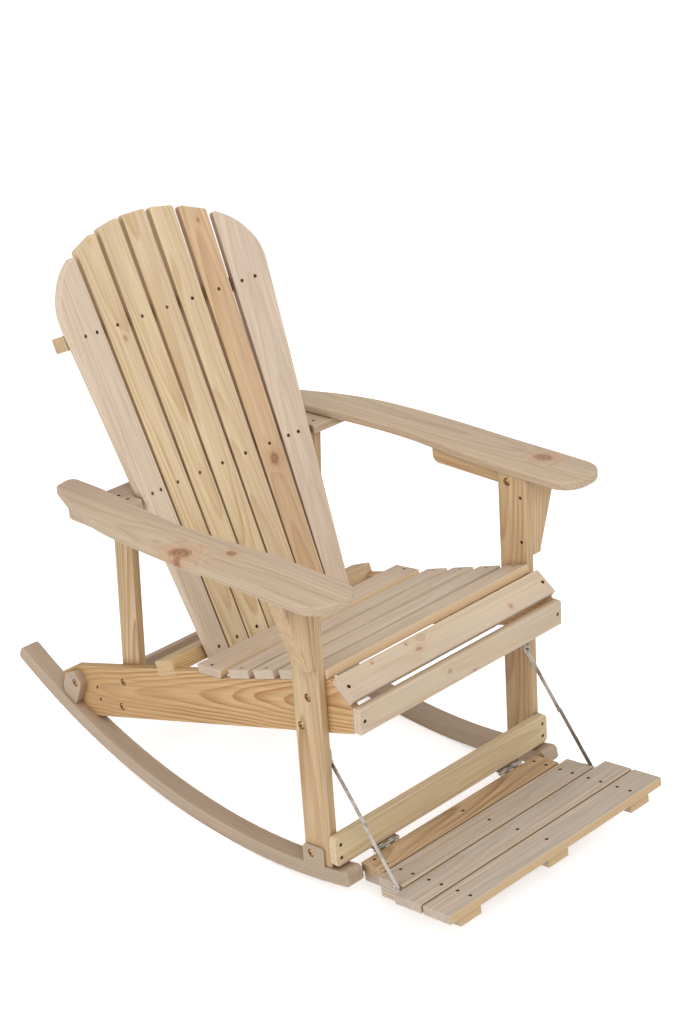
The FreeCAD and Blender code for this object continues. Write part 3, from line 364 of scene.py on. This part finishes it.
def paint_wood(graph, wood, board, seed, knots=()):
    """The wood's shader on board coordinates; knots are (place, size, strength)."""
    dice = random.Random(seed)
    offset = Vector((dice.uniform(0, 9), dice.uniform(0, 9), dice.uniform(0, 9)))
    shifted = graph.vector_math("ADD", board, offset)[0]
    parts = graph.parts(board)

    radius = heart_distance(graph, wood, parts, shifted, dice)
    marks = []
    for place, size, strength in knots:
        distance = knot_distance(graph, parts, place, size)
        fall = graph.math("MULTIPLY", graph.math("POWER", distance, 2.0), -KNOT_FALLOFF)
        near = graph.math("POWER", 2.0, fall)
        radius = graph.math("MULTIPLY_ADD", near, KNOT_PUSH * size[1], radius)
        marks.append((distance, strength))
    rings = ring_pattern(graph, wood, radius, offset.x)

    patches = graph.noise(graph.scaled(shifted, PATCH_SCALE))
    strong = graph.between(patches.outputs["Fac"], 0.3, 0.7, 0.55, 1.0)
    late = graph.math("MULTIPLY", graph.math("MULTIPLY", rings, strong), wood.contrast)
    colour = graph.mix(late, wood.light, wood.late)
    tone = graph.noise(graph.scaled(shifted, TONE_SCALE), detail=3.0)
    tinted = graph.between(tone.outputs["Fac"], 0.35, 0.7, 0.0, 0.8)
    colour = graph.mix(tinted, colour, wood.tint)

    fine = graph.noise(graph.scaled(shifted, FINE_FIBRE_SCALE), roughness=0.6)
    coarse = graph.noise(graph.scaled(shifted, COARSE_FIBRE_SCALE), roughness=0.6)
    streaks = graph.math("ADD", fine.outputs["Fac"], coarse.outputs["Fac"])
    shade = graph.between(streaks, 0.75, 1.25, 1.0 - 0.16 * wood.fibre,
                          1.0 + 0.10 * wood.fibre, smooth=False)
    colour = graph.mix(1.0, colour, graph.vector(shade, shade, shade), "MULTIPLY")

    for distance, strength in marks:
        colour = stain_knot(graph, colour, shifted, distance, strength)
    # Painted light: faces that point forward are painted warmer and brighter, as if lit from
    # the front.
    if wood.warm:
        forward = graph.vector_math("DOT_PRODUCT", graph.coordinates("Normal"), FRONT_LIGHT_FACING)
        front_lit = graph.between(forward["Value"], 0.15, 0.75, 0.0, 0.8)
        colour = graph.mix(front_lit, colour, wood.warm)
    # Rubbed edges painted lighter and narrow gaps painted darker, as wear, highlight and
    # shade.
    colour = rub_sheen_and_gap_shade(graph, colour)

    height = graph.math("MULTIPLY_ADD", rings, -0.5, streaks)
    gloss = graph.between(streaks, 0.7, 1.3, wood.roughness + 0.08,
                          wood.roughness - 0.08, smooth=False)
    shader = graph.surface({
        "Base Color": colour, "Roughness": gloss, "Normal": graph.bump(height, *WOOD_BUMP),
        "Specular IOR Level": WOOD_SPECULAR})
    return finish_material(graph, shader)


def dress(node, material):
    data = nodes[node].data
    data.materials.clear()
    data.materials.append(material)


def middle(node):
    low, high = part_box(node)
    return (Vector(low) + Vector(high)) / 2


def wood_board(node, wood, along, face):
    graph = material_graph("wood_" + node)
    board, turn, shift = board_place(graph, middle(node), along, face)
    knots = []
    for place, (length, width), strength in KNOTS.get(node, ()):
        point = turn @ spot(*place) + shift
        knots.append(((point.x, point.y), (length / 1000, width / 1000), strength))
    dress(node, paint_wood(graph, wood, board, node, knots))


def wood_arc(node, wood, middle_x):
    graph = material_graph("wood_" + node)
    dress(node, paint_wood(graph, wood, arc_place(graph, middle_x), node))


# Metal: rolled or plated steel with fine scratches and dull patches

DULL_SCALE = (40.0, 40.0, 40.0)
SCRATCH_SCALE = (250.0, 2400.0, 900.0)
SCRATCH_DEPTH = 0.0001


def metal(name, colour, dull, roughness, scratch=0.4):
    graph = material_graph(name)
    coordinates = graph.coordinates()
    patches = graph.noise(graph.scaled(coordinates, DULL_SCALE), detail=4.0, roughness=0.6)
    patch = patches.outputs["Fac"]
    fine = graph.noise(graph.scaled(coordinates, SCRATCH_SCALE))
    rough = graph.between(patch, 0.3, 0.7, roughness - 0.08, roughness + 0.12)
    shader = graph.surface({
        "Base Color": graph.mix(graph.between(patch, 0.42, 0.68), colour, dull),
        "Metallic": 1.0, "Roughness": rough,
        "Normal": graph.bump(fine.outputs["Fac"], scratch, SCRATCH_DEPTH)})
    return finish_material(graph, shader)


# Dressing the pieces

# Each back slat's wood and how far its grain turns outward, from the sitter's right
BACK_SLATS = ((PALE, -0.066), (SLAT, -0.027), (SLAT, -0.012), (SLAT, 0.0), (SLAT, 0.012),
              (PINK, 0.027), (PALE, 0.066))

for index, (wood, flare) in enumerate(BACK_SLATS, 1):
    wood_board("back_slat_%d" % index, wood, BACK_UP + X * flare, BACK_FACE)
wood_board("top_back_rail", LEG, X, BACK_UP)
wood_board("lower_back_rail", BACK_RAIL, X, BACK_UP)

wood_board("seat_slat_1", SEAT_EDGE, X, SEAT_FACE)
for index in (2, 3, 4):
    wood_board("seat_slat_%d" % index, SEAT, X, SEAT_FACE)
wood_board("seat_slat_5", SEAT_EDGE, X, REAR_SEAT_FACE)
wood_board("upper_apron", APRON, X, APRON_FACE)
wood_board("lower_apron", APRON, X, LEVEL_REAR)

for side in ("left", "right"):
    wood_board("arm_" + side, ARM, LEVEL_REAR, LEVEL_UP)
    wood_board("arm_bracket_" + side, LEG, LEVEL_UP, LEVEL_REAR)
    wood_board("arm_support_rail_" + side, LEG, LEVEL_REAR, X)
    wood_board("front_leg_" + side, LEG, LEVEL_UP, X)
    wood_board("rear_post_" + side, LEG, POST_UP, X)
    wood_board("side_rail_" + side, RAIL, RAIL_ALONG, X)
wood_arc("rocker_left", ROCKER, ROCKER_MIDDLE_X)
wood_arc("rocker_right", ROCKER, -ROCKER_MIDDLE_X)
wood_board("arm_cross_rail", ARM, X, LEVEL_UP)
wood_board("front_stretcher", STRETCHER, X, LEVEL_REAR)
wood_board("rear_stretcher", ROCKER, X, LEVEL_REAR)

wood_board("footrest_slat_1", FOOT_REAR, X, FOOT_FACE)
for index in (2, 3, 4):
    wood_board("footrest_slat_%d" % index, FOOT, X, FOOT_FACE)
for side in ("left", "right", "middle"):
    wood_board("footrest_cleat_" + side, FOOT, FOOT_AHEAD, FOOT_FACE)

yellow_zinc = metal("yellow_zinc", linear(176, 146, 98), linear(104, 80, 52), 0.34)
grey_zinc = metal("grey_zinc", linear(184, 176, 168), linear(146, 136, 126), 0.46, 0.25)
brown_zinc = metal("brown_zinc", linear(128, 98, 70), linear(84, 62, 46), 0.45)
for node in nodes:
    if node in ("frame_bolts", "frame_nuts"):
        dress(node, yellow_zinc)
    elif node.startswith(("hinge", "stay")) or node.endswith("fitting_screws"):
        dress(node, grey_zinc)
    elif node.endswith("screws"):
        dress(node, brown_zinc)


# Floor, light and camera

FLOOR_SIZE = 30
FLOOR_GLOW = 0.53
ROOM_COLOUR = (0.97, 0.985, 1.0, 1)
ROOM_STRENGTH = 0.5
WHITE = (1, 1, 1, 1)

# Softboxes: place and aimed-at point in metres, size of the square face, power in watts
SOFTBOXES = (
    ("key", (-1.9, -2.7, 3.2), (0, -0.1, 0.4), 2.4, 64),
    ("fill", (3.2, -2.2, 2.2), (0, 0, 0.4), 2.5, 30),
    ("side", (-3.4, 0.6, 1.9), (0, 0, 0.4), 2.2, 34),
    ("top", (0.3, 0.8, 3.8), (0, 0, 0.3), 2.6, 30),
)

CAMERA_PLACE = (-2.42095, -2.54332, 2.31054)
CAMERA_TURN = (1.107901, 0.022800, -0.783863)
CAMERA_LENS = 76.05
CAMERA_SENSOR = 36.0
CAMERA_REACH = 100


def make_floor():
    """A matt white floor that keeps the chair's shadow and looks white to the camera."""
    bpy.ops.mesh.primitive_plane_add(size=FLOOR_SIZE, location=(0, 0, 0))
    floor = bpy.context.object
    floor.name = "floor"
    graph = material_graph("studio_floor")
    rays = graph.node("ShaderNodeLightPath").outputs
    seen = graph.math("MAXIMUM", rays["Is Camera Ray"], rays["Is Glossy Ray"])
    speckle = graph.noise(graph.coordinates(), detail=3.0)
    tone = graph.mix(speckle.outputs["Fac"], linear(250, 250, 250), linear(246, 246, 246))
    matte = graph.node("ShaderNodeBsdfDiffuse", {"Color": tone}).outputs[0]
    glow = graph.node("ShaderNodeEmission", {
        "Color": WHITE, "Strength": FLOOR_GLOW}).outputs[0]
    lifted = graph.node("ShaderNodeAddShader", {0: matte, 1: glow}).outputs[0]
    shader = graph.node("ShaderNodeMixShader", {0: seen, 1: matte, 2: lifted}).outputs[0]
    floor.data.materials.append(finish_material(graph, shader))


def make_world():
    """A pale room that lights the chair, seen as plain white by the camera."""
    world = bpy.data.worlds.new("studio")
    bpy.context.scene.world = world
    graph = Graph(world)
    rays = graph.node("ShaderNodeLightPath").outputs
    seen = graph.math("MAXIMUM", rays["Is Camera Ray"], rays["Is Transmission Ray"])
    room = graph.node("ShaderNodeBackground", {
        "Color": ROOM_COLOUR, "Strength": ROOM_STRENGTH}).outputs[0]
    white = graph.node("ShaderNodeBackground", {"Color": WHITE, "Strength": 1.0}).outputs[0]
    mixed = graph.node("ShaderNodeMixShader", {0: seen, 1: room, 2: white}).outputs[0]
    graph.node("ShaderNodeOutputWorld", {0: mixed})


def softbox(name, place, target, size, power):
    data = bpy.data.lights.new(name, "AREA")
    data.shape = "RECTANGLE"
    data.size = data.size_y = size
    data.energy = power
    lamp = bpy.data.objects.new(name, data)
    bpy.context.collection.objects.link(lamp)
    lamp.location = place
    aim = Vector(target) - Vector(place)
    lamp.rotation_euler = aim.to_track_quat("-Z", "Y").to_euler()


def make_camera():
    data = bpy.data.cameras.new("photo_camera")
    data.sensor_fit = "VERTICAL"
    data.sensor_height = CAMERA_SENSOR
    data.lens = CAMERA_LENS
    data.clip_end = CAMERA_REACH
    camera = bpy.data.objects.new("photo_camera", data)
    bpy.context.collection.objects.link(camera)
    camera.location = CAMERA_PLACE
    camera.rotation_euler = CAMERA_TURN
    bpy.context.scene.camera = camera


make_floor()
make_world()
for box in SOFTBOXES:
    softbox(*box)
make_camera()
bpy.context.scene.view_settings.view_transform = "Standard"
